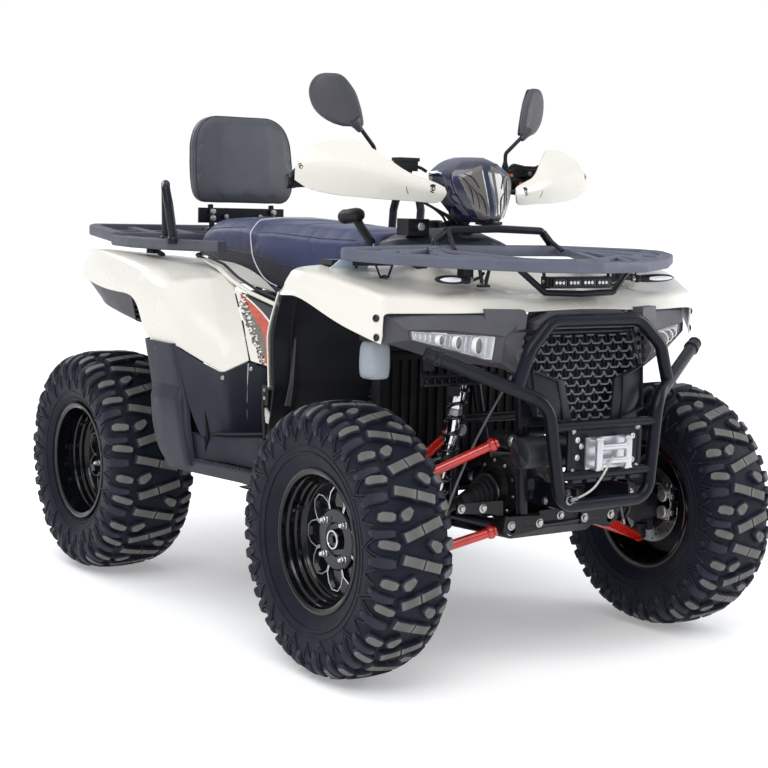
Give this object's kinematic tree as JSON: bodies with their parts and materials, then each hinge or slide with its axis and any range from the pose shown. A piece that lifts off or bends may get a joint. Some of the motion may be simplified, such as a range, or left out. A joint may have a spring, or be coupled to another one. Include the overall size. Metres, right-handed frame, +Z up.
{
  "type": "quad bike",
  "caption": "Full-size quad bike with a plastic shell over a tube frame, front and rear racks, tube bumper with winch, padded saddle with backrest, handlebar steering and large treaded tyres.",
  "frame": {"origin": "on the ground, on the centreline, in the middle of the length", "axes": "+Z up, +Y towards the rear (the front faces -Y), +X towards the vehicle's left side"},
  "size_m": [1.211, 1.9875, 1.394],
  "materials": {
    "tyre_rubber": "matt moulded rubber",
    "rim_paint": "gloss black with machined edges",
    "machined_metal": "machined",
    "frame_paint": "satin black powder coat",
    "engine_metal": "dark cast",
    "arm_red": "gloss red paint",
    "shell_cream": "glossy moulded plastic",
    "shell_dark": "grained moulded plastic",
    "rack_dark": "fine grained moulded plastic",
    "lamp_clear": "clear lens",
    "lamp_red": "red lens",
    "lamp_amber": "clear lens in a dark housing",
    "seat_vinyl": "grained vinyl with piping",
    "backrest_vinyl": "grained vinyl"
  },
  "bodies": {
    "root": {"backrest": "backrest_vinyl", "body_trim": "shell_dark", "brackets": "frame_paint", "brake_hoses": "tyre_rubber", "bumper": "frame_paint", "engine_block": "engine_metal", "fairlead": "machined_metal", "footwells": "shell_dark", "frame_posts": "frame_paint", "frame_rails": "frame_paint", "frame_spines": "frame_paint", "front_arms": "arm_red", "front_axle": "frame_paint", "front_fenders": "shell_cream", "front_lamps": "lamp_clear", "front_rack": "rack_dark", "front_shocks": "frame_paint", "gear_lever": "shell_dark", "grab_handles": "rack_dark", "grille": "shell_dark", "headlight_bezels": "shell_dark", "hitch": "frame_paint", "liners": "shell_dark", "muffler": "frame_paint", "rear_arms": "arm_red", "rear_axle": "frame_paint", "rear_fenders": "shell_cream", "rear_rack": "rack_dark", "rear_shocks": "frame_paint", "seat": "seat_vinyl", "side_panels": "shell_cream", "skid_plate": "frame_paint", "tail_lights": "lamp_red", "turn_signals": "lamp_amber", "winch": "frame_paint", "winch_rope": "machined_metal"},
    "wheel_front_left": {"tyre_front_left": "tyre_rubber", "rim_front_left": "rim_paint", "hub_front_left": "machined_metal"},
    "wheel_front_right": {"tyre_front_right": "tyre_rubber", "rim_front_right": "rim_paint", "hub_front_right": "machined_metal"},
    "wheel_rear_left": {"tyre_rear_left": "tyre_rubber", "rim_rear_left": "rim_paint", "hub_rear_left": "machined_metal"},
    "wheel_rear_right": {"tyre_rear_right": "tyre_rubber", "rim_rear_right": "rim_paint", "hub_rear_right": "machined_metal"},
    "knuckle_left": {"knuckle_left": "frame_paint"},
    "knuckle_right": {"knuckle_right": "frame_paint"},
    "tie_rod_left": {"tie_rod_left": "frame_paint"},
    "tie_rod_right": {"tie_rod_right": "frame_paint"},
    "steering": {"steering_column": "frame_paint", "handlebar": "frame_paint", "grips": "shell_dark", "hand_guards": "shell_cream", "mirrors": "shell_dark", "instrument_pod": "shell_dark", "controls": "shell_dark", "cables": "tyre_rubber"}
  },
  "joints": [
    {"name": "steer", "type": "hinge", "parent": "root", "child": "steering", "pos_m": [0, -0.345, 1.1], "axis": [0, 0.2662, 0.9639], "range_deg": [-32, 32]},
    {"name": "kingpin_left", "type": "hinge", "parent": "root", "child": "knuckle_left", "pos_m": [0.412, -0.65, 0.236], "axis": [-0.0406, 0.029, 0.9988], "range_deg": [-32, 32]},
    {"name": "tie_rod_left", "type": "hinge", "parent": "knuckle_left", "child": "tie_rod_left", "pos_m": [0.386, -0.538, 0.412], "axis": [-0.0406, 0.029, 0.9988], "range_deg": [-32, 32]},
    {"name": "kingpin_right", "type": "hinge", "parent": "root", "child": "knuckle_right", "pos_m": [-0.412, -0.65, 0.236], "axis": [0.0406, 0.029, 0.9988], "range_deg": [-32, 32]},
    {"name": "tie_rod_right", "type": "hinge", "parent": "knuckle_right", "child": "tie_rod_right", "pos_m": [-0.386, -0.538, 0.412], "axis": [0.0406, 0.029, 0.9988], "range_deg": [-32, 32]},
    {"name": "roll_front_left", "type": "hinge", "parent": "knuckle_left", "child": "wheel_front_left", "pos_m": [0.5, -0.642, 0.3175], "axis": [1, 0, 0], "continuous": true},
    {"name": "roll_front_right", "type": "hinge", "parent": "knuckle_right", "child": "wheel_front_right", "pos_m": [-0.5, -0.642, 0.3175], "axis": [1, 0, 0], "continuous": true},
    {"name": "roll_rear_left", "type": "hinge", "parent": "root", "child": "wheel_rear_left", "pos_m": [0.477, 0.642, 0.3175], "axis": [1, 0, 0], "continuous": true},
    {"name": "roll_rear_right", "type": "hinge", "parent": "root", "child": "wheel_rear_right", "pos_m": [-0.477, 0.642, 0.3175], "axis": [1, 0, 0], "continuous": true}
  ],
  "couplings": [
    {"joint": "kingpin_left", "follows": "steer", "ratio": 1},
    {"joint": "tie_rod_left", "follows": "steer", "ratio": -1},
    {"joint": "kingpin_right", "follows": "steer", "ratio": 1},
    {"joint": "tie_rod_right", "follows": "steer", "ratio": -1}
  ]
}
